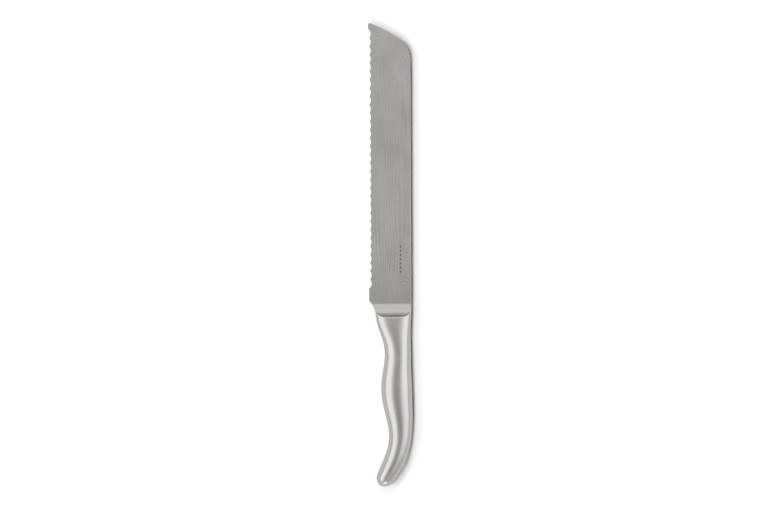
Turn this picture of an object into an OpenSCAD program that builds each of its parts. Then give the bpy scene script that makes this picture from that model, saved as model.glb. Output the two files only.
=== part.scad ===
// Bread knife with a laminated, one-side serrated blade, a welded bolster and a filled hollow steel handle.
// It lies on its right side: +Y runs to the tip, +X to the spine, +Z out of the left side, Z = 0 is the table.
// Everything is drawn in knife coordinates, [across from the spine, along from the blade's rear end, off the
// middle plane], and knife_frame() then moves it onto the table, centred under the box.

/* [Blade] */
// Length of the laminated blade, from its rear end to the tip
blade_l = 200; // [185:1:230]
// Width of the blade, from the spine to the line of the edge
blade_w = 30.2; // [28:0.1:34]
// Thickness of the blade along the spine
spine_t = 2.0; // [1.8:0.1:2.6]
// Thickness of the hard core sheet
core_t = 0.6; // [0.4:0.1:0.8]
// Slope of the clipped tip where it reaches the tip's corner, off square to the spine
tip_angle = 25; // [18:1:35]
// Radius of the clipped tip's long, slight curve
clip_r = 160; // [100:10:400]
// Radius that joins the spine to the clipped tip
tip_r = 17; // [12:1:24]
// Radius on the tip's corner at the edge
tip_corner_r = 1.2; // [0.6:0.1:2]
// Bare core below the left cladding, across from the line of the edge
left_core_strip = 2.4; // [2.2:0.1:4]
// Bare core below the right cladding, across from the line of the edge
right_core_strip = 4.6; // [4.4:0.1:6]

/* [Serrations] */
// Number of ground scallops
scallops = 31; // [20:1:31]
// Distance from one scallop to the next
scallop_pitch = 5.93; // [5:0.01:5.95]
// Middle of the rear scallop, ahead of the blade's rear end
scallop_start = 14.2; // [13:0.1:16]
// Deepest point of a scallop, in from the line of the edge
scallop_root = 1.9; // [1.6:0.1:2.1]
// Angle between the grinding wheel's groove and the blade
grind_angle = 15; // [14:1:18]
// Radius of the ground groove
groove_r = 13.4; // [12:0.1:15]

/* [Bolster] */
// Length of the weld bead between blade and bolster
weld_l = 1.2; // [0.8:0.1:1.6]
// Thickness of the bolster where its ramp ends
neck_t = 4.0; // [3.4:0.1:4.4]
// Length from the blade's rear end to where the bolster's hollow starts
neck_l = 5.6; // [5.4:0.1:6]
// Radius of the hollow that rises from the bolster to the handle
hollow_r = 4.5; // [4.3:0.1:4.8]
// Radius of the rounded corner where the heel runs into the bolster
heel_r = 6.4; // [4:0.1:7]

/* [Handle] */
// Thickness of the pressed handle shells
wall = 1.2; // [1:0.1:1.4]
// Rounding of the shells' front rim
rim_r = 1.1; // [1.05:0.05:1.15]
// Length of the rounded butt past its last cross-section
butt_l = 7.1; // [6:0.1:8]
// How far past its widest the rounded butt starts, as an angle, so that it carries on the handle's taper
butt_lead = 6.5; // [3:0.5:10]
// Width of the ground weld bead along the handle's seam
seam_w = 0.7; // [0.4:0.1:0.9]
// Depth of that weld bead
seam_depth = 0.5; // [0.3:0.1:0.7]

/* [Inside the handle] */
// Width of the tang
tang_w = 10; // [8:0.5:11]
// Thickness of the tang
tang_t = 3; // [2.5:0.5:4]
// Length of the tang behind its slot's floor
tang_l = 47; // [30:1:55]
// Diameter of the balance weight
weight_d = 9; // [6:0.5:9]
// Length of the balance weight
weight_l = 20; // [12:1:20]

/* [Hidden] */
$fn = 96;

core_z = core_t / 2;
spine_z = spine_t / 2;
neck_z = neck_t / 2;
beyond = 2;              // how far a cutting shape runs past what it cuts
gap = 0.05;              // clearance of a piece that is set into another

// ---- handle cross-sections, front to butt: the belly point, the back point and half the thickness.
// Each is square to the handle's own curve. The first and last only steer the curve past its ends.
STATIONS = [
  [[-26.0,   -2.0], [  0.0,    -2.0], 5.30],
  [[-25.9,   -6.0], [  0.0,    -6.0], 5.65],
  [[-25.4,  -10.0], [ -0.2,   -10.0], 6.02],
  [[-24.75, -14.0], [ -0.35,  -14.0], 6.36],
  [[-23.55, -18.0], [ -0.5,   -18.0], 6.65],
  [[-22.1,  -22.0], [ -0.6,   -22.0], 6.90],
  [[-20.2,  -28.0], [ -0.55,  -28.0], 7.20],
  [[-19.25, -35.5], [ -0.35,  -35.5], 7.50],
  [[-19.85, -43.5], [ -0.3,   -43.5], 7.85],
  [[-21.2,  -52.0], [ -0.05,  -52.0], 8.20],
  [[-21.9,  -60.5], [  0.35,  -60.5], 8.50],
  [[-21.25, -69.0], [  0.45,  -69.0], 8.40],
  [[-19.3,  -78.0], [  0.65,  -78.5], 8.00],
  [[-17.3,  -86.5], [  0.45,  -87.0], 7.60],
  [[-16.45, -94.5], [ -0.2,   -95.5], 7.50],
  [[-17.1, -101.0], [ -1.75, -104.0], 7.70],
  [[-19.1, -108.0], [ -4.5,  -113.0], 8.00],
  [[-22.0, -115.3], [ -9.4,  -121.7], 7.90],
  [[-24.3, -120.2], [-13.6,  -127.3], 7.30],
  [[-26.3, -124.2], [-17.9,  -132.0], 6.30]
];
station_step = 4;                      // spacing of the first sections along the knife
mouth_v = STATIONS[1][0][1];
last_s = len(STATIONS) - 3;            // the butt's own section, counted from the mouth

function catmull(a, b, c, d, t) =
  (2 * b + (c - a) * t + (2 * a - 5 * b + 4 * c - d) * t * t + (3 * b - a - 3 * c + d) * t * t * t) / 2;

// The section at s, where s counts the stations from the mouth: [belly, back, half thickness, squareness].
function section(s) =
  let(
    i = max(0, min(len(STATIONS) - 4, floor(s))),
    t = s - i,
    p = [for (k = [0:3]) STATIONS[i + k]]
  )
  [
    catmull(p[0][0], p[1][0], p[2][0], p[3][0], t),
    catmull(p[0][1], p[1][1], p[2][1], p[3][1], t),
    catmull(p[0][2], p[1][2], p[2][2], p[3][2], t),
    squareness(s)
  ];

// Exponent of the superellipse: squarer at the mouth, a plain oval from the waist back.
function squareness(s) = 2.0 + 0.4 * max(0, 1 - s / 6);

// ---- one point of the handle's skin. e is the angle up from the seam, 90 at the ridge.
function skin_point(middle, foot, half_t, n, e, inset) =
  let(reach = norm(foot - middle), out = (foot - middle) / reach)
  [
    each (middle + out * (reach - inset) * pow(cos(e), 2 / n)),
    (half_t - inset) * pow(sin(e), 2 / n)
  ];

// side is 1 on the back and 0 on the belly.
function side_point(s, side, e, inset) =
  let(x = section(s), middle = (x[0] + x[1]) / 2)
  skin_point(middle, x[side], x[2], x[3], e, inset);

// The butt: part of an ellipsoid, with feet on its oval from the back (turn 0) to the belly (turn 180).
butt = section(last_s);
butt_middle = (butt[0] + butt[1]) / 2;
butt_chord = norm(butt[1] - butt[0]) / 2;
butt_across = (butt[1] - butt_middle) / butt_chord;
butt_along = [butt_across[1], -butt_across[0]];
butt_half_w = butt_chord / cos(butt_lead);
butt_half_t = butt[2] / cos(butt_lead);
butt_reach = butt_l / (1 - sin(butt_lead));
butt_centre = butt_middle - butt_along * butt_reach * sin(butt_lead);

function butt_foot(turn, inset) =
  let(t = butt_lead + turn * (1 - butt_lead / 90))
  butt_centre + butt_across * (butt_half_w - inset) * cos(t) + butt_along * (butt_reach - inset) * sin(t);

function butt_point(turn, e, inset) =
  let(
    plan = butt_middle + (butt_foot(turn, inset) - butt_middle) * cos(e),
    x = (plan - butt_centre) * butt_across / (butt_half_w - inset),
    y = (plan - butt_centre) * butt_along / (butt_reach - inset)
  )
  [plan[0], plan[1], (butt_half_t - inset) * sqrt(max(0, 1 - x * x - y * y))];

// ---- the mouth, where the shells' rim follows the bolster's hollow.
// The bolster's hollow goes on from its ramp: its centre is [along the knife, off the middle plane].
ramp_angle = atan((neck_z - spine_z) / neck_l);
hollow_centre = [-neck_l, neck_z] + hollow_r * [sin(ramp_angle), cos(ramp_angle)];

// rise is a rim point's height above the neck, whose faces lean like the blade's.
function rim_rise(u, z) = max(0, z - neck_z - blade_slope * u);

// Radius of the rim's rounding there: none where the neck is as thick as the handle.
function rim_soft(rise) = rim_r * min(1, rise / 1.5);

// Where the rim lies along the knife.
function rim_v(rise) =
  let(below = hollow_centre[1] - neck_z - rise)
  hollow_centre[0] - sqrt(max(0, hollow_r * hollow_r - below * below));

function s_at(v) = (mouth_v - v) / station_step;

// Height of the handle's outer oval at a share x of its half width.
function oval_z(x, n, half_t) = half_t * pow(max(0, 1 - pow(x, n)), 1 / n);

RIM_TURNS = [0, 30, 60, 90];           // steps round the rim's rounding
lead_v = -14;                          // from here back the shell's rings are flat
FRONT = len(RIM_TURNS) + 1;            // rings ahead of there

function front_point(k, side, e, inset) =
  let(
    x = section(0.5),
    half_w = norm(x[1] - x[0]) / 2,
    n = x[3],
    share = (half_w - inset) / half_w * pow(cos(e), 2 / n),
    u = (x[0][0] + x[1][0]) / 2 + (2 * side - 1) * share * half_w,
    rise = rim_rise(u, oval_z(share, n, x[2])),
    soft = rim_soft(rise),
    start_v = rim_v(rise - soft),
    turn = RIM_TURNS[min(k, len(RIM_TURNS) - 1)],
    rim_end_v = start_v - soft * (1 - cos(turn)),
    v = k < len(RIM_TURNS) ? rim_end_v : (rim_end_v + lead_v) / 2,
    in = inset > 0 ? inset : soft * (1 - sin(turn)),
    p = side_point(s_at(v), side, e, in)
  )
  [p[0], v, p[2]];

// ---- the skin as rings from the back round the butt to the belly
lead_s = s_at(lead_v);
BODY_S = [for (i = [0:36]) lead_s + (last_s - lead_s) * i / 36];
BUTT_TURNS = [for (i = [1:13]) i * 180 / 14];
BODY_RINGS = FRONT + len(BODY_S);
RINGS = 2 * BODY_RINGS + len(BUTT_TURNS);
RISE = 10;                             // steps from the seam to the ridge

function ring_point(q, e, inset) =
  q < FRONT ? front_point(q, 1, e, inset) :
  q < BODY_RINGS ? side_point(BODY_S[q - FRONT], 1, e, inset) :
  q < RINGS - BODY_RINGS ? butt_point(BUTT_TURNS[q - BODY_RINGS], e, inset) :
  q < RINGS - FRONT ? side_point(BODY_S[RINGS - 1 - q - FRONT], 0, e, inset) :
  front_point(RINGS - 1 - q, 0, e, inset);

// Rings that share a ridge point: a back ring with its belly ring, and all of the butt's with the last one.
function ridge_index(q) = min(q, RINGS - 1 - q, BODY_RINGS - 1);

// Angle at which a ring's skin has the height z.
function angle_at(z, half_t, n) = asin(pow(z / half_t, n / 2));
seam_e = angle_at(seam_w / 2, 7.4, 2.1);

// Levels up the outer skin, from the seam bead to just below the ridge.
OUTER_E = [for (i = [0:RISE - 1]) seam_e + (90 - seam_e) * i / RISE];
INNER_E = [for (i = [0:RISE - 1]) 90 * i / RISE];

function reversed(list) = [for (i = [len(list) - 1:-1:0]) list[i]];

// Two triangles between neighbouring ring points a, b and c, d.
function quad(a, b, c, d) = [[a, b, c], [a, c, d]];

// Half a handle, on the left of the middle plane: outer skin, inner skin, chamfered seam edge and front rim.
module handle_shell() {
  outer = [for (q = [0:RINGS - 1]) for (e = OUTER_E) ring_point(q, e, 0)];
  inner = [for (q = [0:RINGS - 1]) for (e = INNER_E) ring_point(q, e, wall)];
  outer_ridge = [for (q = [0:BODY_RINGS - 1]) ring_point(q, 90, 0)];
  inner_ridge = [for (q = [0:BODY_RINGS - 1]) ring_point(q, 90, wall)];
  chamfer = [for (q = [0:RINGS - 1]) ring_point(q, 0, seam_depth)];
  n_outer = len(outer);
  n_ridge = len(outer_ridge);
  function out_i(q, e) = e < RISE ? q * RISE + e : 2 * n_outer + ridge_index(q);
  function in_i(q, e) = e < RISE ? n_outer + q * RISE + e : 2 * n_outer + n_ridge + ridge_index(q);
  function seam_i(q) = 2 * n_outer + 2 * n_ridge + q;
  skins = [
    for (q = [0:RINGS - 2])
      for (e = [0:RISE - 1])
        each concat(
          quad(out_i(q, e), out_i(q, e + 1), out_i(q + 1, e + 1), out_i(q + 1, e)),
          quad(in_i(q, e), in_i(q + 1, e), in_i(q + 1, e + 1), in_i(q, e + 1))
        )
  ];
  seams = [
    for (q = [0:RINGS - 2])
      each concat(
        quad(out_i(q, 0), out_i(q + 1, 0), seam_i(q + 1), seam_i(q)),
        quad(seam_i(q), seam_i(q + 1), in_i(q + 1, 0), in_i(q, 0))
      )
  ];
  rims = concat(
    [[out_i(0, 0), seam_i(0), in_i(0, 0)]],
    [[out_i(RINGS - 1, 0), in_i(RINGS - 1, 0), seam_i(RINGS - 1)]],
    [
      for (e = [0:RISE - 1])
        each concat(
          quad(out_i(0, e), in_i(0, e), in_i(0, e + 1), out_i(0, e + 1)),
          quad(out_i(RINGS - 1, e), out_i(RINGS - 1, e + 1), in_i(RINGS - 1, e + 1), in_i(RINGS - 1, e))
        )
    ]
  );
  faces = concat(skins, seams, rims);
  polyhedron(
    points = concat(outer, inner, outer_ridge, inner_ridge, chamfer),
    faces = [for (f = faces) if (f[0] != f[1] && f[1] != f[2] && f[2] != f[0]) f]
  );
}

// The weld bead that fills the shells' chamfers, ground flush: a wedge swept from the back round to the belly.
module seam_bead() {
  points = [
    for (q = [0:RINGS - 1])
      let(top = ring_point(q, seam_e, 0), root = ring_point(q, 0, seam_depth + 0.02))
      each [[top[0], top[1], top[2] - 0.01], root, [top[0], top[1], 0.01 - top[2]]]
  ];
  last = 3 * (RINGS - 1);
  faces = concat(
    [[0, 1, 2], [last, last + 2, last + 1]],
    [
      for (q = [0:RINGS - 2])
        for (k = [0:2])
          each quad(3 * q + k, 3 * q + 3 + k, 3 * q + 3 + (k + 1) % 3, 3 * q + (k + 1) % 3)
    ]
  );
  polyhedron(points = points, faces = faces);
}

// A closed core of the handle, inset from its skin, from a flat front at s_front round the butt.
module handle_core(inset, s_front, steps, rise) {
  body = [for (i = [0:steps]) s_front + (last_s - s_front) * i / steps];
  turns = [for (i = [1:9]) i * 18];
  rings = 2 * len(body) + len(turns);
  levels = [for (i = [1 - rise:rise - 1]) 90 * i / rise];
  nl = len(levels);
  function point(q, e) =
    q < len(body) ? side_point(body[q], 1, e, inset) :
    q < rings - len(body) ? butt_point(turns[q - len(body)], e, inset) :
    side_point(body[rings - 1 - q], 0, e, inset);
  function signed(q, e) = let(p = point(q, abs(e))) [p[0], p[1], e < 0 ? -p[2] : p[2]];
  skin = [for (q = [0:rings - 1]) for (e = levels) signed(q, e)];
  tops = [for (q = [0:len(body) - 1]) signed(q, 90)];
  bottoms = [for (q = [0:len(body) - 1]) signed(q, -90)];
  function ridge(q) = min(q, rings - 1 - q, len(body) - 1);
  function i(q, l) =
    l < 0 ? len(skin) + len(tops) + ridge(q) :
    l == nl ? len(skin) + ridge(q) :
    q * nl + l;
  faces = concat(
    [for (q = [0:rings - 2]) for (l = [-1:nl - 1]) each quad(i(q, l), i(q, l + 1), i(q + 1, l + 1), i(q + 1, l))],
    [for (l = [-1:nl - 1]) each quad(i(0, l), i(rings - 1, l), i(rings - 1, l + 1), i(0, l + 1))]
  );
  polyhedron(
    points = concat(skin, tops, bottoms),
    faces = [for (f = faces) if (f[0] != f[1] && f[1] != f[2] && f[2] != f[0]) f]
  );
}

// ---- blade outline, seen from the left side
function arc(centre, r, from, to, steps) =
  [for (i = [0:steps]) centre + r * [cos(from + (to - from) * i / steps), sin(from + (to - from) * i / steps)]];

corner_centre = [-blade_w + tip_corner_r, blade_l - tip_corner_r];
clip_centre = corner_centre - (clip_r - tip_corner_r) * [sin(tip_angle), cos(tip_angle)];
// Slope where the clipped tip's curve meets the radius that leads to the spine
join_angle = asin((-tip_r - clip_centre[0]) / (clip_r - tip_r));
tip_centre = clip_centre + (clip_r - tip_r) * [sin(join_angle), cos(join_angle)];
heel = [-blade_w, 1.9];

// Outline of the blade, out to the line of the edge.
function blade_outline() = concat(
  [[0, 0]],
  arc(tip_centre, tip_r, 0, 90 - join_angle, 16),
  arc(clip_centre, clip_r, 90 - join_angle, 90 - tip_angle, 8),
  arc(corner_centre, tip_corner_r, 90 - tip_angle, 180, 8),
  heel_path(blade_l, 0)
);

// The heel's cut and its rounding into the neck: the points between v = from_v and v = to_v.
heel_lean = 38;                        // how far the heel's cut leans off the edge's line
neck_lean = 4;                         // how far the neck's belly side leans in, towards the handle
heel_cut_l = 4.3;                      // length of the straight cut
heel_dir = [sin(heel_lean), -cos(heel_lean)];
heel_start = heel + heel_dir * heel_cut_l;
heel_centre = heel_start + heel_r * [cos(heel_lean), sin(heel_lean)];

function heel_point(v) = heel + heel_dir * (heel[1] - v) / cos(heel_lean);

function heel_path(from_v, to_v) = concat(
  from_v > heel[1] ? [heel] : from_v > heel_start[1] ? [heel_point(from_v)] : [],
  to_v > heel_start[1] ? [heel_point(to_v)] : [
    for (p = arc(heel_centre, heel_r, 180 + heel_lean, 180 + neck_lean, 8))
      if (p[1] < from_v && p[1] > to_v) p
  ]
);

// ---- final place on the table
back_bulge = max([for (i = [0:0.1:last_s]) section(i)[1][0]]);
butt_end_v = butt_centre[1] - norm([butt_across[1] * butt_half_w, butt_along[1] * butt_reach]);
rest_z = max([for (i = [0:0.1:last_s]) section(i)[2]]);

module knife_frame() {
  translate([(blade_w - back_bulge) / 2, -(blade_l + butt_end_v) / 2, rest_z]) children();
}

// ---- blade
module flat_slab(outline, z0, z1) {
  translate([0, 0, z0]) linear_extrude(z1 - z0) polygon(outline);
}

// A cross-section [across, off the middle plane] drawn along the knife from v0 to v1.
module along(v0, v1) {
  translate([0, v1, 0]) rotate([90, 0, 0]) linear_extrude(v1 - v0) children();
}

spine_ease = 0.25;                     // width of the eased edge along the spine
spine_ease_z = 0.2;                    // depth of that edge

// Wedge of cladding from the spine to its thin edge, strip in from the line of the edge.
module cladding_section(strip) {
  slope = (spine_z - core_z) / (blade_w - strip);
  polygon([
    [0, core_z],
    [0, spine_z - spine_ease_z],
    [-spine_ease, spine_z - slope * spine_ease],
    [strip - blade_w, core_z]
  ]);
}

module left_cladding() {
  color("#a3a09d")
    intersection() {
      flat_slab(blade_outline(), 0, spine_t);
      along(-beyond, blade_l + beyond) cladding_section(left_core_strip);
    }
}

module right_cladding() {
  color("#a3a09d")
    intersection() {
      flat_slab(blade_outline(), -spine_t, 0);
      along(-beyond, blade_l + beyond) mirror([0, 1]) cladding_section(right_core_strip);
    }
}

// One ground groove: a round wheel that comes in from the right side and leaves at the left face.
module groove() {
  translate([scallop_root - blade_w, 0, core_z])
    rotate([0, 90 + grind_angle, 0])
      translate([groove_r, 0, -8])
        cylinder(h = 14, r = groove_r);
}

module blade_core() {
  color("#b0aeab")
    difference() {
      flat_slab(blade_outline(), -core_z, core_z);
      for (i = [0:scallops - 1])
        translate([0, scallop_start + i * scallop_pitch, 0]) groove();
    }
}

// ---- weld and bolster
blade_slope = (spine_z - core_z) / (blade_w - left_core_strip);
blade_tilt = atan(blade_slope);

// The ground bead between blade and bolster: the first strip of the bolster's ramp.
module blade_weld() {
  color("#b5b3ae")
    neck_block(concat([[0, -weld_l], [0, 0]], heel_path(0, -weld_l)));
}

// The outline of the bolster's rear edge: the front rings of the shells, from the back to the belly.
function rim_outline() = concat(
  [for (e = [0:RISE]) let(p = front_point(0, 1, e * 90 / RISE, 0)) [p[0], p[1]]],
  [for (e = [RISE - 1:-1:0]) let(p = front_point(0, 0, e * 90 / RISE, 0)) [p[0], p[1]]]
);

// The neck's left half: a ramp up from the blade, then the round hollow up to the handle's rim.
// The whole of it leans with the blade's left face.
module neck_half() {
  rotate([0, -blade_tilt, 0])
    translate([-blade_w - beyond, 0, 0])
      rotate([90, 0, 90])
        linear_extrude(blade_w + 2 * beyond)
          polygon(concat(
            [[0, -beyond], [0, spine_z]],
            arc(hollow_centre, hollow_r, 270 - ramp_angle, 182, 16),
            [[hollow_centre[0] - hollow_r, hollow_centre[1]], [hollow_centre[0] - hollow_r, -beyond]]
          ));
}

// Cuts the eased edge along the neck's spine side, in line with the blade's.
module neck_ease() {
  translate([0, 0, spine_z - spine_ease_z])
    rotate([-ramp_angle, 0, 0])
      rotate([0, atan(spine_ease_z / spine_ease), 0])
        translate([-beyond, -2 * neck_l, 0]) cube([2 * beyond, 3 * neck_l, beyond]);
}

// The neck inside an outline, on both sides of the middle plane.
module neck_block(outline) {
  for (side = [0, 1])
    mirror([0, 0, side])
      difference() {
        intersection() {
          flat_slab(outline, 0, 2 * neck_t);
          neck_half();
        }
        neck_ease();
      }
}

plug_front = -neck_l - 2;              // front face of the plug that closes the handle's mouth, inside the neck
plug_end = -16;                        // its rear face
shoulder_v = hollow_centre[0] - hollow_r + 0.2;
plug_half = [10.5, 4.3];               // behind the shoulder
shoulder_half = [9.8, neck_z];         // ahead of it, where the plug has to stay under the hollow
slot_floor = -11;

// A rounded block round the mouth's middle line, half[0] wide and half[1] thick to each side.
module plug_step(half, v0, v1) {
  mouth = section(1);
  translate([(mouth[0][0] + mouth[1][0]) / 2, 0, 0])
    along(v0, v1)
      polygon([
        for (i = [0:47])
          let(a = i * 7.5, c = cos(a), s = sin(a))
          [half[0] * sign(c) * pow(abs(c), 0.84), half[1] * sign(s) * pow(abs(s), 0.84)]
      ]);
}

module plug() {
  plug_step(shoulder_half, shoulder_v - 1, plug_front);
  plug_step(plug_half, plug_end, shoulder_v);
}

// The tang's bar, or with room = gap the slot that takes it. It is centred where the handle is narrowest.
module tang_bar(room) {
  x = section(s_at(-36));
  translate([(x[0][0] + x[1][0]) / 2 - tang_w / 2 - room, slot_floor - gap - tang_l - room, -tang_t / 2 - room])
    cube([tang_w + 2 * room, tang_l + 2 * room, tang_t + 2 * room]);
}

module bolster() {
  outline = concat([[0, -weld_l]], rim_outline(), reversed(heel_path(-weld_l, -neck_l)));
  color("#bcbab6")
    difference() {
      union() {
        neck_block(outline);
        plug();
      }
      tang_bar(gap);
    }
}

module tang() {
  color("#8f8d8a") tang_bar(0);
}

// ---- handle
module left_handle_shell() {
  color("#cfcdca") handle_shell();
}

module right_handle_shell() {
  color("#cfcdca") mirror([0, 0, 1]) handle_shell();
}

module handle_seam_weld() {
  color("#c4c2be") seam_bead();
}

// The weight's bar behind the tang, in line with the handle's middle, or with room = gap the pocket for it.
module weight_bar(room) {
  front = section(s_at(slot_floor - tang_l));
  rear = section(s_at(slot_floor - tang_l) + 3);
  a = (front[0] + front[1]) / 2;
  b = (rear[0] + rear[1]) / 2;
  lead = room > 0 ? 0.8 : 0;             // the pocket runs on into the tang's slot
  translate([a[0], slot_floor - tang_l - 0.6, 0])
    rotate([0, 0, atan2(b[0] - a[0], a[1] - b[1])])
      rotate([90, 0, 0])
        translate([0, 0, -lead]) cylinder(h = weight_l + lead + room, d = weight_d + 2 * room);
}

module handle_filler() {
  color("#6f6a60")
    difference() {
      handle_core(wall + 0.3, s_at(plug_end - 0.3), 26, 6);
      tang_bar(gap);
      weight_bar(gap);
    }
}

module balance_weight() {
  color("#7d7b78") weight_bar(0);
}

knife_frame() blade_core();
knife_frame() left_cladding();
knife_frame() right_cladding();
knife_frame() blade_weld();
knife_frame() bolster();
knife_frame() tang();
knife_frame() left_handle_shell();
knife_frame() right_handle_shell();
knife_frame() handle_seam_weld();
knife_frame() handle_filler();
knife_frame() balance_weight();
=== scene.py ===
import math

import bmesh
import bpy
import numpy as np
from mathutils import Matrix, Vector


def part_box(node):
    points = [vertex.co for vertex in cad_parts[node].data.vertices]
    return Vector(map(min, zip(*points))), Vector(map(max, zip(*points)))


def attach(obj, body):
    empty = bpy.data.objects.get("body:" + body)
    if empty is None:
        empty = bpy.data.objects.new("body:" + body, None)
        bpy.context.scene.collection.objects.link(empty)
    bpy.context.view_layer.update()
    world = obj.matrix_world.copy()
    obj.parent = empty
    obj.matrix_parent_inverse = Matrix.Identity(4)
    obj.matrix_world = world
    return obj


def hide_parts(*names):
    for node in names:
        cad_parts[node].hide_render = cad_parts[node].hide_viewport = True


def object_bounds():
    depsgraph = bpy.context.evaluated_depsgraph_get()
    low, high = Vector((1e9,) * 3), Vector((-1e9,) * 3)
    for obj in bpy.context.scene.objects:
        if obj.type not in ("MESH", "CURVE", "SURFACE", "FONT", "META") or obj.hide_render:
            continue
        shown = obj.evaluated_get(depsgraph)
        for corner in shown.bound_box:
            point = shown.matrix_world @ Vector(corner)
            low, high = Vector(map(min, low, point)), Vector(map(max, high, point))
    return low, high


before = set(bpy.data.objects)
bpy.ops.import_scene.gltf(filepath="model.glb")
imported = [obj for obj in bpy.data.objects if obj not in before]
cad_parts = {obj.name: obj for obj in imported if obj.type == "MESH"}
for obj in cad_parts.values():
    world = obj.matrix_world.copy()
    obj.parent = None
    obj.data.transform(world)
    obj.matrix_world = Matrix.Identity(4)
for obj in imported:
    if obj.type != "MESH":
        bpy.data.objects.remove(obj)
cad_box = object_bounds()

# ---------------------------------------------------------------- the knife's own coordinates
# [across from the spine, along from the blade's rear end, off the middle plane], in millimetres.
MM = 0.001
SPINE_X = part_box("left_cladding")[1].x
REAR_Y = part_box("left_cladding")[0].y
MIDDLE_Z = (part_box("blade_core")[0].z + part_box("blade_core")[1].z) / 2
EDGE_U = (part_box("blade_core")[0].x - SPINE_X) / MM
TIP_V = (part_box("blade_core")[1].y - REAR_Y) / MM
SPINE_Z = (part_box("left_cladding")[1].z - MIDDLE_Z) / MM
CORE_Z = (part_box("blade_core")[1].z - MIDDLE_Z) / MM


def place(points):
    """Row-frame positions, in metres, of points in the knife's coordinates."""
    p = np.asarray(points, float) * MM
    return p + np.array([SPINE_X, REAR_Y, MIDDLE_Z])


# ---------------------------------------------------------------- the handle's shape, as in the CAD
# Belly point, back point and half thickness of each cross-section, front to butt.
STATIONS = np.array(
    [
        [-26.0, -2.0, 0.0, -2.0, 5.30],
        [-25.9, -6.0, 0.0, -6.0, 5.65],
        [-25.4, -10.0, -0.2, -10.0, 6.02],
        [-24.75, -14.0, -0.35, -14.0, 6.36],
        [-23.55, -18.0, -0.5, -18.0, 6.65],
        [-22.1, -22.0, -0.6, -22.0, 6.90],
        [-20.2, -28.0, -0.55, -28.0, 7.20],
        [-19.25, -35.5, -0.35, -35.5, 7.50],
        [-19.85, -43.5, -0.3, -43.5, 7.85],
        [-21.2, -52.0, -0.05, -52.0, 8.20],
        [-21.9, -60.5, 0.35, -60.5, 8.50],
        [-21.25, -69.0, 0.45, -69.0, 8.40],
        [-19.3, -78.0, 0.65, -78.5, 8.00],
        [-17.3, -86.5, 0.45, -87.0, 7.60],
        [-16.45, -94.5, -0.2, -95.5, 7.50],
        [-17.1, -101.0, -1.75, -104.0, 7.70],
        [-19.1, -108.0, -4.5, -113.0, 8.00],
        [-22.0, -115.3, -9.4, -121.7, 7.90],
        [-24.3, -120.2, -13.6, -127.3, 7.30],
        [-26.3, -124.2, -17.9, -132.0, 6.30],
    ]
)
MOUTH_V = STATIONS[1, 1]
STATION_STEP = 4.0
LAST_S = len(STATIONS) - 3.0
BUTT_L, BUTT_LEAD = 7.1, math.radians(6.5)
WALL = 1.2
SEAM_W, SEAM_DEPTH = 0.7, 0.5

# The bolster's ramp and hollow
WELD_L, NECK_Z, NECK_L, HOLLOW_R, RIM_R = 1.2, 2.0, 5.6, 4.5, 1.1
RIM_FULL_RISE = 1.5  # the rim is fully rounded where the handle rises this much over the neck
LEFT_CLADDING_W = 27.8
BLADE_SLOPE = (SPINE_Z - CORE_Z) / LEFT_CLADDING_W
RAMP = math.atan((NECK_Z - SPINE_Z) / NECK_L)
HOLLOW_V = -NECK_L + HOLLOW_R * math.sin(RAMP)
HOLLOW_Z = NECK_Z + HOLLOW_R * math.cos(RAMP)


def section(s):
    """Belly point, back point, half thickness and exponent of the section at s stations from the mouth."""
    i = max(0, min(len(STATIONS) - 4, math.floor(s)))
    t = s - i
    a, b, c, d = STATIONS[i : i + 4]
    x = (2 * b + (c - a) * t + (2 * a - 5 * b + 4 * c - d) * t * t + (3 * b - a - 3 * c + d) * t**3) / 2
    return x[:2], x[2:4], x[4], 2.0 + 0.4 * max(0, 1 - s / 6)


def side_point(s, side, e, inset=0.0):
    """A point of the handle's skin: side 1 is the back and 0 the belly, e the angle up from the seam."""
    belly, back, half_t, n = section(s)
    middle, foot = (belly + back) / 2, (back if side else belly)
    reach = np.linalg.norm(foot - middle)
    plan = middle + (foot - middle) / reach * (reach - inset) * max(0.0, math.cos(e)) ** (2 / n)
    return np.array([*plan, (half_t - inset) * math.sin(e) ** (2 / n)])


def s_at(v):
    return (MOUTH_V - v) / STATION_STEP


def oval_z(share, n, half_t):
    """Height of the handle's oval at a share of its half width."""
    return half_t * max(0.0, 1 - share**n) ** (1 / n)


def rim_at(u, z):
    """Where along the knife the shell's rounded rim starts at a point of the oval, and its radius there."""
    rise = max(0.0, z - NECK_Z - BLADE_SLOPE * u)
    soft = RIM_R * min(1.0, rise / RIM_FULL_RISE)
    below = HOLLOW_Z - NECK_Z - (rise - soft)
    return HOLLOW_V - math.sqrt(max(0.0, HOLLOW_R**2 - below**2)), soft


def rim(side, e, inset=0.0):
    """The rim's start and radius for one line of the skin."""
    belly, back, half_t, n = section(0.5)
    half_w = np.linalg.norm(back - belly) / 2
    share = (half_w - inset) / half_w * max(0.0, math.cos(e)) ** (2 / n)
    u = (belly[0] + back[0]) / 2 + (2 * side - 1) * share * half_w
    return rim_at(u, oval_z(share, n, half_t))


def rim_line(u):
    """Where the shell's rim meets the bolster's hollow, along the knife, at u."""
    belly, back, half_t, n = section(0.5)
    half_w = np.linalg.norm(back - belly) / 2
    share = min(1.0, abs(u - (belly[0] + back[0]) / 2) / half_w)
    return rim_at(u, oval_z(share, n, half_t))[0]


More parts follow.
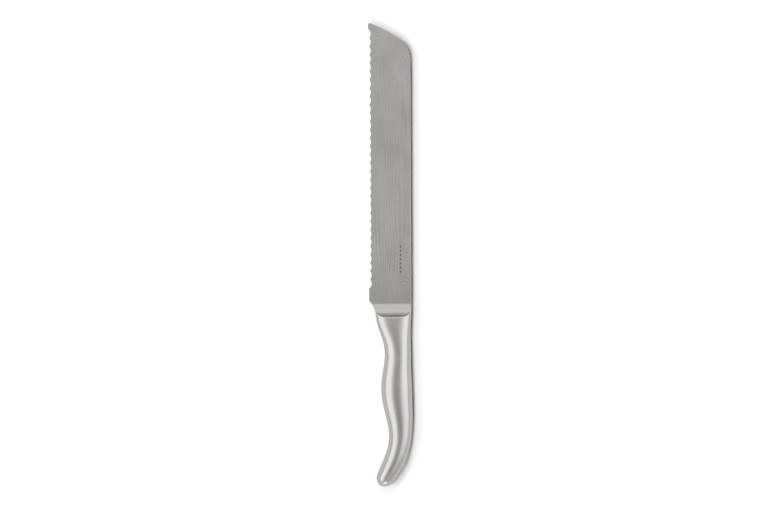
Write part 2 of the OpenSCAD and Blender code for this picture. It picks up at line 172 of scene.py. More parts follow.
# The heel's cut and its rounding into the neck, on the belly side
HEEL, HEEL_CUT, HEEL_R = np.array([EDGE_U, 1.9]), 4.3, 6.4
HEEL_LEAN, NECK_LEAN = math.radians(38), math.radians(4)
HEEL_START = HEEL + HEEL_CUT * np.array([math.sin(HEEL_LEAN), -math.cos(HEEL_LEAN)])
HEEL_CENTRE = HEEL_START + HEEL_R * np.array([math.cos(HEEL_LEAN), math.sin(HEEL_LEAN)])


def heel_u(v):
    """The belly side's outline from the heel's corner to the handle."""
    if v > HEEL_START[1]:
        return HEEL[0] + (HEEL[1] - v) * math.tan(HEEL_LEAN)
    end_v = HEEL_CENTRE[1] - HEEL_R * math.sin(NECK_LEAN)
    if v > end_v:
        return HEEL_CENTRE[0] - math.sqrt(max(0.0, HEEL_R**2 - (v - HEEL_CENTRE[1]) ** 2))
    end_u = HEEL_CENTRE[0] - HEEL_R * math.cos(NECK_LEAN)
    rim_u, rim_v = section(0.0)[0][0], -NECK_L
    return end_u + (rim_u - end_u) * min(1.0, (end_v - v) / (end_v - rim_v))


FILLET = 1.0  # half the length over which the blade's face turns into the bolster's ramp


def neck_rise(v):
    """How far the bolster's ramp and hollow rise over the blade's face."""
    x = -v
    q = 0.0 if x < -FILLET else x if x > FILLET else (x + FILLET) ** 2 / (4 * FILLET)
    if v >= -NECK_L:
        return math.tan(RAMP) * q
    return HOLLOW_Z - math.sqrt(max(0.0, HOLLOW_R**2 - (v - HOLLOW_V) ** 2)) - SPINE_Z


class Butt:
    """The ellipsoid that rounds the handle off behind its last cross-section."""

    belly, back, _half_t, _n = section(LAST_S)
    middle = (belly + back) / 2
    chord = float(np.linalg.norm(back - belly)) / 2
    across = (back - middle) / chord
    along = np.array([across[1], -across[0]])
    half_w = chord / math.cos(BUTT_LEAD)
    half_t = _half_t / math.cos(BUTT_LEAD)
    reach = BUTT_L / (1 - math.sin(BUTT_LEAD))
    centre = middle - along * reach * math.sin(BUTT_LEAD)


def butt_point(t, side, e, inset=0.0):
    """t runs from the last cross-section (BUTT_LEAD) to the butt's end (90 degrees)."""
    w = (Butt.half_w - inset) * math.cos(t) * math.cos(e) * (1 if side else -1)
    plan = Butt.centre + Butt.across * w + Butt.along * (Butt.reach - inset) * math.sin(t)
    return np.array([*plan, (Butt.half_t - inset) * math.cos(t) * math.sin(e)])


# ---------------------------------------------------------------- meshes
def piece(name, points, faces, node, material, mirrored=False):
    """A new object from points in the knife's coordinates, which stands for a CAD node."""
    points = np.asarray(points, float)
    if mirrored:
        points = points * [1, 1, -1]
        faces = [tuple(reversed(f)) for f in faces]
    mesh = bpy.data.meshes.new(name)
    mesh.from_pydata([tuple(p) for p in place(points)], [], [tuple(int(i) for i in f) for f in faces])
    bm = bmesh.new()
    bm.from_mesh(mesh)
    bmesh.ops.remove_doubles(bm, verts=bm.verts, dist=1e-8)
    bmesh.ops.recalc_face_normals(bm, faces=bm.faces)
    bm.to_mesh(mesh)
    bm.free()
    mesh.polygons.foreach_set("use_smooth", [True] * len(mesh.polygons))
    obj = bpy.data.objects.new(name, mesh)
    bpy.context.scene.collection.objects.link(obj)
    mesh.materials.append(material)
    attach(obj, "root")
    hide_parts(node)
    return obj


def sharpen(obj, angle=35):
    """Marks edges sharper than the angle, so that faces either side are shaded flat against each other."""
    bm = bmesh.new()
    bm.from_mesh(obj.data)
    for edge in bm.edges:
        if len(edge.link_faces) == 2 and edge.calc_face_angle(0) > math.radians(angle):
            edge.smooth = False
    bm.to_mesh(obj.data)
    bm.free()


COLUMNS = 25  # lines of the skin on each side of the ridge
RIM_ROWS, LEAD_ROWS, BODY_ROWS, BUTT_ROWS = 7, 9, 200, 26
LEAD_V = -14.0
BODY_S = np.linspace(s_at(LEAD_V), LAST_S, BODY_ROWS)


def skin_rows(inset=0.0, base_z=SEAM_W / 2):
    """Rows of points over half the handle, each from the back's seam over the ridge to the belly's seam."""
    lines = [(1, k / COLUMNS) for k in range(COLUMNS)] + [(0, k / COLUMNS) for k in range(COLUMNS, -1, -1)]

    def row(point, half_t, n=2.0):
        low = math.asin(min(1.0, base_z / half_t) ** (n / 2))
        return [point(side, low + (math.pi / 2 - low) * k) for side, k in lines]

    rows = []
    front_t, front_n = section(0.5)[2] - inset, section(0.5)[3]
    for i in range(RIM_ROWS):
        turn = math.pi / 2 * i / (RIM_ROWS - 1)

        def rounded(side, e):
            start, soft = rim(side, e, inset)
            v = start - soft * (1 - math.cos(turn))
            deep = inset if inset else soft * (1 - math.sin(turn))
            p = side_point(s_at(v), side, e, deep)
            return [p[0], v, p[2]]

        rows.append(row(rounded, front_t, front_n))
    for i in range(1, LEAD_ROWS):

        def lead(side, e):
            start, soft = rim(side, e, inset)
            v = (start - soft) + (LEAD_V - start + soft) * i / LEAD_ROWS
            p = side_point(s_at(v), side, e, inset)
            return [p[0], v, p[2]]

        rows.append(row(lead, front_t, front_n))
    for s in BODY_S:
        rows.append(row(lambda side, e: side_point(s, side, e, inset), section(s)[2] - inset, section(s)[3]))
    end = math.acos(min(1.0, max(base_z, 0.02) / (Butt.half_t - inset)))
    for i in range(1, BUTT_ROWS + 1):
        t = BUTT_LEAD + (end - BUTT_LEAD) * math.sin(math.pi / 2 * i / BUTT_ROWS)
        rows.append(row(lambda side, e: butt_point(t, side, e, inset), (Butt.half_t - inset) * math.cos(t)))
    return np.array(rows)


def grid_faces(rows, cols, start=0, flip=False):
    faces = []
    for i in range(rows - 1):
        for j in range(cols - 1):
            a = start + i * cols + j
            f = (a, a + 1, a + cols + 1, a + cols)
            faces.append(f[::-1] if flip else f)
    return faces


def handle_half():
    """Points and faces of one closed half shell: outer skin, inner skin, front rim and seam edges."""
    outer = skin_rows()
    inner = skin_rows(inset=WALL, base_z=0.0)
    rows, cols = outer.shape[:2]
    root = np.stack([np.array([*side, 0.0]) for side in seam_path(SEAM_DEPTH, 0.0)])
    points = np.concatenate([outer.reshape(-1, 3), inner.reshape(-1, 3), root])
    n = rows * cols
    faces = grid_faces(rows, cols) + grid_faces(rows, cols, n, flip=True)
    # front rim, from the outer skin to the inner one
    faces += [(j, n + j, n + j + 1, j + 1) for j in range(cols - 1)]
    # seam edges: the chamfer down to the weld's root, then flat to the inner skin, from back to belly
    back = [i * cols for i in range(rows)]
    belly = [i * cols + cols - 1 for i in range(rows)]
    path = back + belly[::-1][1:]
    for k in range(len(path) - 1):
        a, b = path[k], path[k + 1]
        ra, rb = 2 * n + k, 2 * n + k + 1
        faces.append((a, b, rb, ra))
        faces.append((ra, rb, n + b, n + a))
    # the inner skin's last row ends just short of the butt: a cap closes it
    faces.append([n + (rows - 1) * cols + j for j in range(cols)] + [n + (rows - 2) * cols + cols - 1])
    faces.append((path[0], 2 * n, n + path[0]))
    faces.append((path[-1], n + path[-1], 2 * n + len(path) - 1))
    return points, faces


def seam_path(inset, z):
    """Plan points along the seam at height z: back from the mouth, round the butt, belly to the mouth."""
    rows = skin_rows(inset, z)
    return [r[0][:2] for r in rows] + [r[-1][:2] for r in rows[::-1][1:]]


def seam_weld(material):
    """The ground bead that fills the shells' chamfers, as one diamond section swept along the seam."""
    top = seam_path(0.0, SEAM_W / 2)
    mid = seam_path(0.0, 0.0)
    root = seam_path(SEAM_DEPTH, 0.0)
    points, faces = [], []
    h = SEAM_W / 2
    for t, m, r in zip(top, mid, root):
        points += [[*t, h], [*m, 0.0], [*t, -h], [*r, 0.0]]
    count = len(top)
    for k in range(count - 1):
        a, b = 4 * k, 4 * k + 4
        for i in range(4):
            j = (i + 1) % 4
            faces.append((a + i, b + i, b + j, a + j))
    faces += [(0, 1, 2, 3), (4 * count - 1, 4 * count - 2, 4 * count - 3, 4 * count - 4)]
    obj = piece("seam_weld", points, faces, "handle_seam_weld", material)
    sharpen(obj, 50)
    return obj


# Heights of the neck's two edges by the blade, and the slope that they rise at
SPINE_EDGE_Z, BELLY_EDGE_Z, EDGE_RISE = 0.75, 0.22, 2.2
EDGE_BLEND = 0.25  # radius over which the neck's face turns down to its sides
EDGE_MIN_Z = 0.2


def bolster_height(u, v):
    """The neck's top face, down to the handle's oval at its sides and to its own edges near the blade."""
    z = SPINE_Z + BLADE_SLOPE * u + neck_rise(v)
    belly, back, half_t, n = section(0.0)
    half_w = (back[0] - belly[0]) / 2
    belly_u = heel_u(v)
    d = max(0.0, min(u - belly_u, -u))
    side = oval_z(max(0.0, 1 - d / half_w), n, half_t)
    front = (SPINE_EDGE_Z if u > belly_u / 2 else BELLY_EDGE_Z) + EDGE_RISE * d
    share = min(1.0, max(0.0, -v / NECK_L))
    limit = front + (side - front) * share
    k = min(1.0, max(0.0, 0.5 + (limit - z) / (2 * EDGE_BLEND)))
    return max(limit + (z - limit) * k - EDGE_BLEND * k * (1 - k), EDGE_MIN_Z)


def neck_grid(v_front, v_rear, rows, cols):
    """Rows across the neck, belly side to spine, from v_front to v_rear, which may be a function of u."""
    even = np.linspace(0, 1, cols)
    closer_at_sides = 0.5 * (0.5 - 0.5 * np.cos(math.pi * even)) + 0.5 * even
    grid = []
    for t in np.linspace(0, 1, rows):
        line = []
        for x in closer_at_sides:
            u = (1 - x) * heel_u(v_front)
            # u and v depend on each other along a curved rear edge, and settle in a few turns
            for _ in range(4):
                rear = v_rear(u) if callable(v_rear) else v_rear
                v = v_front + (rear - v_front) * t
                u = (1 - x) * heel_u(v)
            line.append([u, v, bolster_height(u, v)])
        grid.append(line)
    return np.array(grid)


def slab(top):
    """A closed mesh between a grid of points and its mirror image below the middle plane."""
    rows, cols = top.shape[:2]
    n = rows * cols
    points = np.concatenate([top.reshape(-1, 3), top.reshape(-1, 3) * [1, 1, -1]])
    faces = grid_faces(rows, cols) + grid_faces(rows, cols, n, flip=True)
    ring = list(range(cols)) + [i * cols + cols - 1 for i in range(1, rows)]
    ring += [n - 1 - j for j in range(1, cols)] + [i * cols for i in range(rows - 2, 0, -1)]
    for a, b in zip(ring, ring[1:] + ring[:1]):
        faces.append((a, n + a, n + b, b))
    return points, faces


PLUG_FRONT, SHOULDER_V, PLUG_END = -NECK_L - 2, HOLLOW_V - HOLLOW_R + 0.2, -16.0
PLUG_HALF, SHOULDER_HALF = (10.5, 4.3), (9.8, NECK_Z)
PLUG_SIDES = 48
PLUG_SQUARENESS = 0.84  # power of the sine and cosine: 1 is an ellipse, and less is squarer


def plug_mesh(start):
    """The stepped plug that closes the handle's mouth, as in the CAD."""
    belly, back, _, _ = section(1.0)
    mid = (belly[0] + back[0]) / 2
    points, faces = [], []
    steps = [(PLUG_FRONT, SHOULDER_HALF), (SHOULDER_V, SHOULDER_HALF)]
    steps += [(SHOULDER_V, PLUG_HALF), (PLUG_END, PLUG_HALF)]
    for v, half in steps:
        for i in range(PLUG_SIDES):
            a = 2 * math.pi * i / PLUG_SIDES
            across, up = (math.copysign(abs(x) ** PLUG_SQUARENESS, x) for x in (math.cos(a), math.sin(a)))
            points.append([mid + half[0] * across, v, half[1] * up])
    for ring in range(len(steps) - 1):
        first = start + ring * PLUG_SIDES
        for i in range(PLUG_SIDES):
            j = (i + 1) % PLUG_SIDES
            faces.append((first + i, first + j, first + PLUG_SIDES + j, first + PLUG_SIDES + i))
    faces.append(tuple(start + i for i in reversed(range(PLUG_SIDES))))
    faces.append(tuple(start + (len(steps) - 1) * PLUG_SIDES + i for i in range(PLUG_SIDES)))
    return np.array(points), faces


def make_bolster(material):
    """The neck and the plug behind it, each a closed mesh, in one object."""
    points, faces = slab(neck_grid(-WELD_L, rim_line, 70, 90))
    more, plug_faces = plug_mesh(len(points))
    points = np.concatenate([points, more])
    obj = piece("bolster_block", points, faces + plug_faces, "bolster", material)
    sharpen(obj, 40)
    return obj


def make_weld(material):
    """The strip of the neck's ramp that is the bead between blade and bolster."""
    points, faces = slab(neck_grid(0.0, -WELD_L, 14, 90))
    obj = piece("neck_weld", points, faces, "blade_weld", material)
    sharpen(obj, 40)
    return obj


def own_copy(node):
    """A copy of a CAD node's mesh, in knife coordinates, as a bmesh."""
    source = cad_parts[node]
    bm = bmesh.new()
    bm.from_mesh(source.data)
    bm.transform(source.matrix_world)
    for vert in bm.verts:
        vert.co = ((vert.co.x - SPINE_X) / MM, (vert.co.y - REAR_Y) / MM, (vert.co.z - MIDDLE_Z) / MM)
    bmesh.ops.remove_doubles(bm, verts=bm.verts, dist=1e-5)
    return bm


FULL_EASE_T = 0.3  # the cladding's thin edge is eased up less than where it is this thick


def make_cladding(name, node, side, material):
    """A cladding sheet from its CAD node, with the face's last millimetre eased up into the weld's ramp.
    side is 1 on the left and -1 on the right."""
    bm = own_copy(node)
    for v in np.linspace(FILLET, 0.1, 8):
        geom = bm.verts[:] + bm.edges[:] + bm.faces[:]
        bmesh.ops.bisect_plane(bm, geom=geom, dist=1e-5, plane_co=(0, v, 0), plane_no=(0, 1, 0))
    for vert in bm.verts:
        if vert.co.y < FILLET and abs(vert.co.z) > CORE_Z + 1e-3:
            thickness = abs(vert.co.z) - CORE_Z
            vert.co.z += side * neck_rise(vert.co.y) * min(1.0, thickness / FULL_EASE_T)
    mesh = bpy.data.meshes.new(name)
    bm.to_mesh(mesh)
    bm.free()
    points = np.array([v.co[:] for v in mesh.vertices])
    faces = [tuple(p.vertices) for p in mesh.polygons]
    bpy.data.meshes.remove(mesh)
    obj = piece(name, points, faces, node, material)
    sharpen(obj, 20)
    return obj


# ---------------------------------------------------------------- materials
class Nodes:
    """Short-hand for building a node tree. Any input may be a number or another node's output."""

    def __init__(self, tree):
        self.tree = tree

    def add(self, kind, **settings):
        node = self.tree.nodes.new(kind)
        for key, value in settings.items():
            setattr(node, key, value)
        return node

    def link(self, value, socket):
        if isinstance(value, bpy.types.NodeSocket):
            self.tree.links.new(value, socket)
        else:
            socket.default_value = value

    def math(self, operation, *values, clamp=False):
        node = self.add("ShaderNodeMath", operation=operation, use_clamp=clamp)
        for i, value in enumerate(values):
            self.link(value, node.inputs[i])
        return node.outputs[0]

    def split(self, vector):
        node = self.add("ShaderNodeSeparateXYZ")
        self.link(vector, node.inputs[0])
        return node.outputs[0], node.outputs[1], node.outputs[2]

    def join(self, x, y, z):
        node = self.add("ShaderNodeCombineXYZ")
        for i, value in enumerate((x, y, z)):
            self.link(value, node.inputs[i])
        return node.outputs[0]

    def mix(self, factor, a, b):
        node = self.add("ShaderNodeMix", data_type="FLOAT")
        self.link(factor, node.inputs["Factor"])
        self.link(a, node.inputs["A"])
        self.link(b, node.inputs["B"])
        return node.outputs["Result"]

    def step(self, value, low, high):
        """A smooth step from 0 at low to 1 at high, which may be below low."""
        node = self.add("ShaderNodeMapRange", interpolation_type="SMOOTHSTEP")
        at_least, at_most = (1.0, 0.0) if low > high else (0.0, 1.0)
        for i, v in enumerate((value, min(low, high), max(low, high), at_least, at_most)):
            self.link(v, node.inputs[i])
        return node.outputs[0]

    def ramp(self, value, pairs):
        """Straight lines through the pairs of value and result."""
        node = self.add("ShaderNodeFloatCurve")
        curve = node.mapping.curves[0]
        while len(curve.points) > 2:
            curve.points.remove(curve.points[1])
        top = max(v for _, v in pairs)
        for i, (at, v) in enumerate(pairs):
            if 0 < i < len(pairs) - 1:
                point = curve.points.new(at, v / top)
            else:
                point = curve.points[0 if i == 0 else -1]
                point.location = (at, v / top)
            point.handle_type = "VECTOR"
        node.mapping.update()
        self.link(value, node.inputs["Value"])
        return self.math("MULTIPLY", node.outputs[0], top)


def material(name, rough, base, metallic=1.0):
    """A new material with a plain Principled shader."""
    m = bpy.data.materials.new(name)
    m.use_nodes = True
    p = m.node_tree.nodes["Principled BSDF"]
    p.inputs["Base Color"].default_value = (*base, 1)
    p.inputs["Metallic"].default_value = metallic
    p.inputs["Roughness"].default_value = rough
    return m


def steel(name, base, rough, metallic=1.0):
    """A material with its nodes and the knife's own coordinates, in millimetres, ready for a pattern."""
    m = material(name, rough, base, metallic)
    n = Nodes(m.node_tree)
    x, y, z = n.split(n.add("ShaderNodeTexCoord").outputs["Object"])
    u = n.math("MULTIPLY", n.math("SUBTRACT", x, SPINE_X), 1 / MM)
    v = n.math("MULTIPLY", n.math("SUBTRACT", y, REAR_Y), 1 / MM)
    h = n.math("MULTIPLY", n.math("SUBTRACT", z, MIDDLE_Z), 1 / MM)
    return m, n, u, v, h


def noise(n, u, v, h, scale, detail=2.0, rough=0.5):
    """Noise from -1 to 1. scale is the size of its features, across, along and off the plane."""
    node = n.add("ShaderNodeTexNoise")
    node.inputs["Scale"].default_value = 1.0
    node.inputs["Detail"].default_value = detail
    node.inputs["Roughness"].default_value = rough
    n.link(n.join(*(n.math("DIVIDE", c, s) for c, s in zip((u, v, h), scale))), node.inputs["Vector"])
    return n.math("MULTIPLY", n.math("SUBTRACT", node.outputs["Fac"], 0.5), 2.0)


def finish(m, n, base, tone, rough, height, depth, edge=0.75):
    """Sets the shader's colour to base x tone, its roughness, and a bump of the given depth in millimetres.
    edge tints its reflection near a grazing angle."""
    shader = m.node_tree.nodes["Principled BSDF"]
    colour = n.add("ShaderNodeCombineColor")
    for i in range(3):
        n.link(n.math("MULTIPLY", tone, base[i]), colour.inputs[i])
    shader.inputs["Specular Tint"].default_value = (edge, edge, edge, 1)
    n.link(colour.outputs[0], shader.inputs["Base Color"])
    n.link(n.math("MAXIMUM", rough, 0.05), shader.inputs["Roughness"])
    bump = n.add("ShaderNodeBump")
    bump.inputs["Strength"].default_value = 1.0
    bump.inputs["Distance"].default_value = depth * MM
    n.link(height, bump.inputs["Height"])
    n.link(bump.outputs[0], shader.inputs["Normal"])


STEEL = (0.55, 0.537, 0.526)


def layered_steel():
    """Layered steel: fine lengthwise lines that close round a knot near the heel and bend with the tip."""
    m, n, u, v, h = steel("layered_steel", STEEL, 0.34)
    # distance from a line up the middle of the billet, from the knot near the heel to short of the tip
    knot_v, top_v = 10.5, 172.0
    along = n.math("DIVIDE", n.math("SUBTRACT", v, knot_v), top_v - knot_v, clamp=True)
    line_u = n.ramp(along, [(0, 6.1), (0.1, 5.4), (0.22, 3.6), (0.45, 3.0), (0.75, 5.0), (1, 8.5)])
    du = n.math("ADD", u, line_u)
    dv = n.math("SUBTRACT", v, n.mix(along, knot_v, top_v))
    # above the knot the middle levels off, so that the knot's own rings close
    level = n.math("MULTIPLY", n.step(v, knot_v, knot_v + 11), 5.0)
    across = n.math("ADD", n.math("MULTIPLY", du, du), n.math("MULTIPLY", level, level))
    reach = n.math("SQRT", n.math("ADD", across, n.math("MULTIPLY", dv, dv)))
    share = n.math("DIVIDE", v, TIP_V, clamp=True)
    # the lines run straighter in the blade's middle and wander towards its ends
    wander = n.ramp(share, [(0, 0.8), (0.2, 1.0), (0.35, 0.6), (0.7, 0.6), (0.85, 1.5), (1, 1.7)])
    warp = n.math("MULTIPLY", noise(n, u, v, h, (12, 55, 9), 1.0), n.math("MULTIPLY", wander, 3.2))
    ripple = n.math("MULTIPLY", noise(n, u, v, h, (2.6, 9, 6), 2.0), n.math("MULTIPLY", wander, 0.75))
    field = n.math("ADD", reach, n.math("ADD", warp, ripple))
    spacing = n.ramp(share, [(0, 1.55), (0.1, 1.6), (0.3, 1.95), (0.5, 1.75), (1, 1.7)])
    turns = n.math("DIVIDE", field, spacing)
    wave = n.math("SINE", n.math("MULTIPLY", turns, 2 * math.pi))
    fine = n.math("SINE", n.math("MULTIPLY", n.math("ADD", turns, warp), 2 * math.pi * 2.4))
    patches = n.math("ADD", 1.0, n.math("MULTIPLY", noise(n, u, v, h, (11, 28, 9), 1.0), 1.4))
    amounts = [(0, 0.2), (0.08, 0.16), (0.2, 0.085), (0.35, 0.055), (0.75, 0.046), (0.9, 0.052), (1, 0.05)]
    strength = n.math("MULTIPLY", n.ramp(share, amounts), n.math("MAXIMUM", patches, 0.1))
    lines = n.math("MULTIPLY", wave, strength)
    lines = n.math("ADD", lines, n.math("MULTIPLY", fine, 0.018))
    cloud = n.math("MULTIPLY", noise(n, u, v, h, (13, 24, 9), 3.0), 0.2)
    grain = noise(n, u, v, h, (0.07, 2.4, 0.5), 2.0)
    tone = n.math("ADD", n.math("ADD", 1.0, lines), n.math("ADD", cloud, n.math("MULTIPLY", grain, 0.045)))
    levels = [(0, 0.93), (0.06, 0.98), (0.18, 1.06), (0.3, 1.06), (0.6, 1.0), (1, 1.01)]
    tone = n.math("MULTIPLY", tone, n.ramp(share, levels))
    # an etched row of plain lozenges, for ornament
    mark_u, mark_v, pitch, count = -7.6, 31.5, 3.0, 7
    half_w, half_l = 0.95, 1.2
    local = n.math("SUBTRACT", v, mark_v - pitch * count / 2)
    cell = n.math("SUBTRACT", n.math("MODULO", n.math("MAXIMUM", local, 0), pitch), pitch / 2)
    shape = n.math(
        "ADD",
        n.math("DIVIDE", n.math("ABSOLUTE", n.math("SUBTRACT", u, mark_u)), half_w),
        n.math("DIVIDE", n.math("ABSOLUTE", cell), half_l),
    )
    row_l = pitch * count
    inside = n.math("MULTIPLY", n.step(local, -0.05, 0.05), n.step(local, row_l + 0.05, row_l - 0.05))
    left_only = n.step(h, 0.0, 0.05)
    etched = n.math("MULTIPLY", n.math("MULTIPLY", n.step(shape, 1.04, 0.96), inside), left_only)
    tone = n.math("MULTIPLY", tone, n.mix(etched, 1.0, 0.38))
    marks = n.math("ADD", n.math("MULTIPLY", lines, -0.35), n.math("MULTIPLY", grain, 0.03))
    rough = n.math("ADD", 0.34, marks)
    rough = n.math("ADD", rough, n.math("MULTIPLY", etched, 0.15))
    height = n.math("ADD", n.math("MULTIPLY", lines, 0.3), n.math("MULTIPLY", grain, 0.02))
    finish(m, n, STEEL, tone, rough, n.math("SUBTRACT", height, n.math("MULTIPLY", etched, 0.6)), 0.02)
    return m


def brushed(name, base, rough, grain_size, tone_amount=0.03, depth=0.004):
    """Plain steel with brush marks as long as grain_size says, across, along and off the plane."""
    m, n, u, v, h = steel(name, base, rough)
    grain = noise(n, u, v, h, grain_size, 2.0)
    coarse = noise(n, u, v, h, tuple(4 * g for g in grain_size), 1.0)
    cloud = noise(n, u, v, h, (9, 25, 9), 2.0)
    tone = n.math("ADD", 1.0, n.math("MULTIPLY", grain, tone_amount))
    tone = n.math("ADD", tone, n.math("MULTIPLY", coarse, tone_amount / 2))
    tone = n.math("ADD", tone, n.math("MULTIPLY", cloud, 0.02))
    r = n.math("ADD", rough, n.math("MULTIPLY", n.math("ADD", grain, cloud), 0.02))
    finish(m, n, base, tone, r, n.math("ADD", grain, coarse), depth)
    return m


mat_blade = layered_steel()
mat_edge = brushed("edge_steel", (0.56, 0.548, 0.533), 0.32, (2.6, 0.06, 0.5))
mat_bolster = brushed("bolster_steel", (0.56, 0.543, 0.52), 0.33, (2.4, 0.07, 0.6))
mat_handle = brushed("handle_steel", STEEL, 0.26, (0.10, 3.2, 0.10), 0.02, 0.002)
mat_weld = brushed("weld_steel", (0.53, 0.517, 0.5), 0.34, (2.4, 0.07, 0.6))
mat_seam = brushed("seam_steel", (0.5, 0.49, 0.475), 0.32, (0.10, 2.0, 0.08), 0.03, 0.002)
mat_inner = brushed("inner_steel", (0.45, 0.44, 0.43), 0.45, (0.3, 2.0, 0.3), 0.06, 0.01)


def cast_resin():
    """A dark casting with fine specks."""
    base = (0.16, 0.145, 0.12)
    m, n, u, v, h = steel("filler_resin", base, 0.8, 0.0)
    specks = noise(n, u, v, h, (0.8, 0.8, 0.8), 3.0, 0.6)
    tone = n.math("ADD", 1.0, n.math("MULTIPLY", specks, 0.3))
    finish(m, n, base, tone, n.math("ADD", 0.8, n.math("MULTIPLY", specks, 0.1)), specks, 0.05)
    return m


mat_resin = cast_resin()

# ---------------------------------------------------------------- build
points, faces = handle_half()
left = piece("handle_left", points, faces, "left_handle_shell", mat_handle)
right = piece("handle_right", points, faces, "right_handle_shell", mat_handle, mirrored=True)
for shell in (left, right):
    sharpen(shell, 50)
seam_weld(mat_seam)
make_bolster(mat_bolster)
make_weld(mat_weld)
make_cladding("cladding_left", "left_cladding", 1, mat_blade)
make_cladding("cladding_right", "right_cladding", -1, mat_blade)
for node, m in (
    ("blade_core", mat_edge),
    ("tang", mat_inner),
    ("handle_filler", mat_resin),
    ("balance_weight", mat_inner),
):
    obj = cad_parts[node]
    obj.data.materials.clear()
    obj.data.materials.append(m)

# ---------------------------------------------------------------- floor, light and camera
scene = bpy.context.scene
scene.view_settings.view_transform = "Standard"

floor_mesh = bpy.data.meshes.new("floor")
bm = bmesh.new()
bmesh.ops.create_grid(bm, x_segments=1, y_segments=1, size=3.0)
bm.to_mesh(floor_mesh)
bm.free()
floor = bpy.data.objects.new("floor", floor_mesh)
scene.collection.objects.link(floor)
floor.location.z = cad_box[0].z
FLOOR_ALBEDO = 0.8
REFLECTED_SHARE = 0.82
floor_mat = material("floor_white", 0.9, (FLOOR_ALBEDO,) * 3, 0.0)
floor_mat.node_tree.nodes["Principled BSDF"].inputs["Specular IOR Level"].default_value = 0.0
# the metal sees a slightly greyer table than the camera, whose white is burnt out
floor_nodes = Nodes(floor_mat.node_tree)
reflected = floor_nodes.add("ShaderNodeLightPath").outputs["Is Glossy Ray"]
seen = floor_nodes.mix(reflected, FLOOR_ALBEDO, FLOOR_ALBEDO * REFLECTED_SHARE)
floor_nodes.link(
    floor_nodes.join(seen, seen, seen), floor_mat.node_tree.nodes["Principled BSDF"].inputs["Base Color"]
)
floor_mesh.materials.append(floor_mat)

world = bpy.data.worlds.new("tent")
scene.world = world
world.use_nodes = True
world.node_tree.nodes.clear()
world.cycles_visibility.diffuse = False
sky = Nodes(world.node_tree)
direction = sky.add("ShaderNodeTexCoord").outputs["Generated"]
x, y, z = sky.split(direction)
flat = sky.math("ADD", sky.math("MULTIPLY", x, x), sky.math("MULTIPLY", y, y))
sideways = sky.math("DIVIDE", sky.math("MULTIPLY", x, x), sky.math("ADD", flat, 1e-4))


def by_height(pairs):
    """Brightness by degrees above the horizon."""
    return sky.ramp(z, [(math.sin(math.radians(h)), v) for h, v in pairs])


tip_levels = [(0, 0.6), (20, 0.62), (35, 0.68), (50, 0.84), (60, 1.14), (70, 1.26), (80, 0.56), (90, 0.4)]
tip_end = by_height(tip_levels)
butt_end = by_height([(0, 0.55), (40, 0.55), (60, 0.58), (70, 0.42), (80, 0.34), (90, 0.4)])
sides = by_height([(0, 0.65), (30, 0.75), (50, 0.9), (63, 0.95), (80, 0.44), (90, 0.4)])
surround = sky.mix(sideways, sky.mix(sky.step(y, -0.12, 0.12), butt_end, tip_end), sides)


def softbox(side, near, far, low, high, value, under):
    """A tall light beside the knife, over what is under it. side is -1 by the edge and 1 by the spine.
    near and far are its ends along the knife, and low and high its height, all over its distance."""
    towards = sky.math("MULTIPLY", x, side)
    d = sky.math("MAXIMUM", towards, 1e-3)
    along, up = sky.math("DIVIDE", y, d), sky.math("DIVIDE", z, d)
    inside = sky.math("MULTIPLY", sky.step(along, near[0], near[1]), sky.step(along, far[1], far[0]))
    inside = sky.math("MULTIPLY", inside, sky.step(towards, 0.05, 0.15))
    tall = sky.math("MULTIPLY", sky.step(up, low[0], low[1]), sky.step(up, high[1], high[0]))
    return sky.mix(sky.math("MULTIPLY", inside, tall), under, value)


light = softbox(-1, (-1.5, -1.0), (0.8, 1.2), (0.25, 0.32), (1.3, 2.0), 1.5, surround)
light = softbox(1, (-0.4, -0.08), (0.8, 1.2), (0.25, 0.32), (1.3, 2.0), 1.50, light)
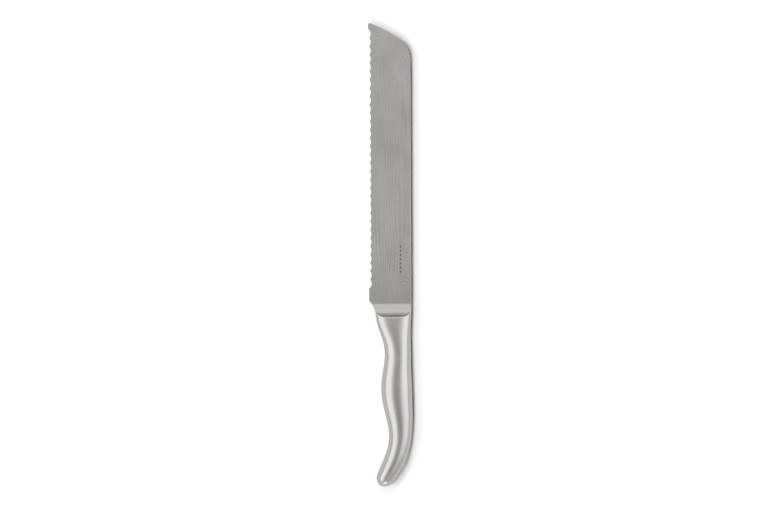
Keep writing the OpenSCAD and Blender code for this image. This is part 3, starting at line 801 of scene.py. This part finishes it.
# a small low lamp past the butt
towards = sky.math("MULTIPLY", y, -1)
d = sky.math("MAXIMUM", towards, 1e-3)
up, off = sky.math("DIVIDE", z, d), sky.math("ABSOLUTE", sky.math("DIVIDE", x, d))
low_lamp = sky.math("MULTIPLY", sky.step(up, -0.05, 0.05), sky.step(up, 0.6, 0.4))
low_lamp = sky.math("MULTIPLY", low_lamp, sky.step(off, 0.45, 0.25))
low_lamp = sky.math("MULTIPLY", low_lamp, sky.step(towards, 0.05, 0.15))
light = sky.mix(low_lamp, light, 1.8)
# the floor does not light up in what the metal throws back at it
direct = sky.step(sky.add("ShaderNodeLightPath").outputs["Diffuse Depth"], 0.9, 0.1)
background = sky.add("ShaderNodeBackground")
sky.link(sky.math("MULTIPLY", light, direct), background.inputs["Strength"])
background.inputs["Color"].default_value = (1, 0.995, 0.985, 1)
sky.link(background.outputs[0], sky.add("ShaderNodeOutputWorld").inputs[0])


def sun(name, from_edge, from_butt, size, radiance):
    """A distant soft light that the metal doesn't see. Degrees off the zenith, to the edge and the butt."""
    across, along = (-math.tan(math.radians(a)) for a in (from_edge, from_butt))
    to_light = Vector((across, along, 1)).normalized()
    data = bpy.data.lights.new(name, "SUN")
    data.energy = radiance * math.pi / FLOOR_ALBEDO / to_light.z
    data.angle = math.radians(size)
    obj = bpy.data.objects.new(name, data)
    scene.collection.objects.link(obj)
    obj.rotation_mode = "QUATERNION"
    obj.rotation_quaternion = to_light.to_track_quat("Z", "Y")
    obj.visible_glossy = False


# a long lamp over the knife, a little to the edge's side, and its softer surroundings
sun("lamp_middle", 11, 0, 12, 0.32)
sun("lamp_side", 20, 0, 16, 0.10)
sun("lamp_tip", 8, -36, 14, 0.19)
sun("lamp_butt", 8, 35, 15, 0.20)
sun("lamp_near_butt", 6, 18, 12, 0.06)
sun("lamp_far", 38, 0, 26, 0.22)

LENS, SENSOR = 100, 36
PICTURE_W = 0.5455  # metres of the knife's middle plane across the picture
camera_data = bpy.data.cameras.new("camera")
camera_data.lens = LENS
camera_data.sensor_width = SENSOR
camera = bpy.data.objects.new("camera", camera_data)
scene.collection.objects.link(camera)
scene.camera = camera
camera.rotation_mode = "QUATERNION"
camera.rotation_quaternion = Matrix.Rotation(math.radians(-0.24), 3, "Z").to_quaternion()
camera.location = (-0.0057, -0.0002, MIDDLE_Z + PICTURE_W * LENS / SENSOR)
camera_data.clip_start, camera_data.clip_end = 0.05, 20

bpy.context.view_layer.update()
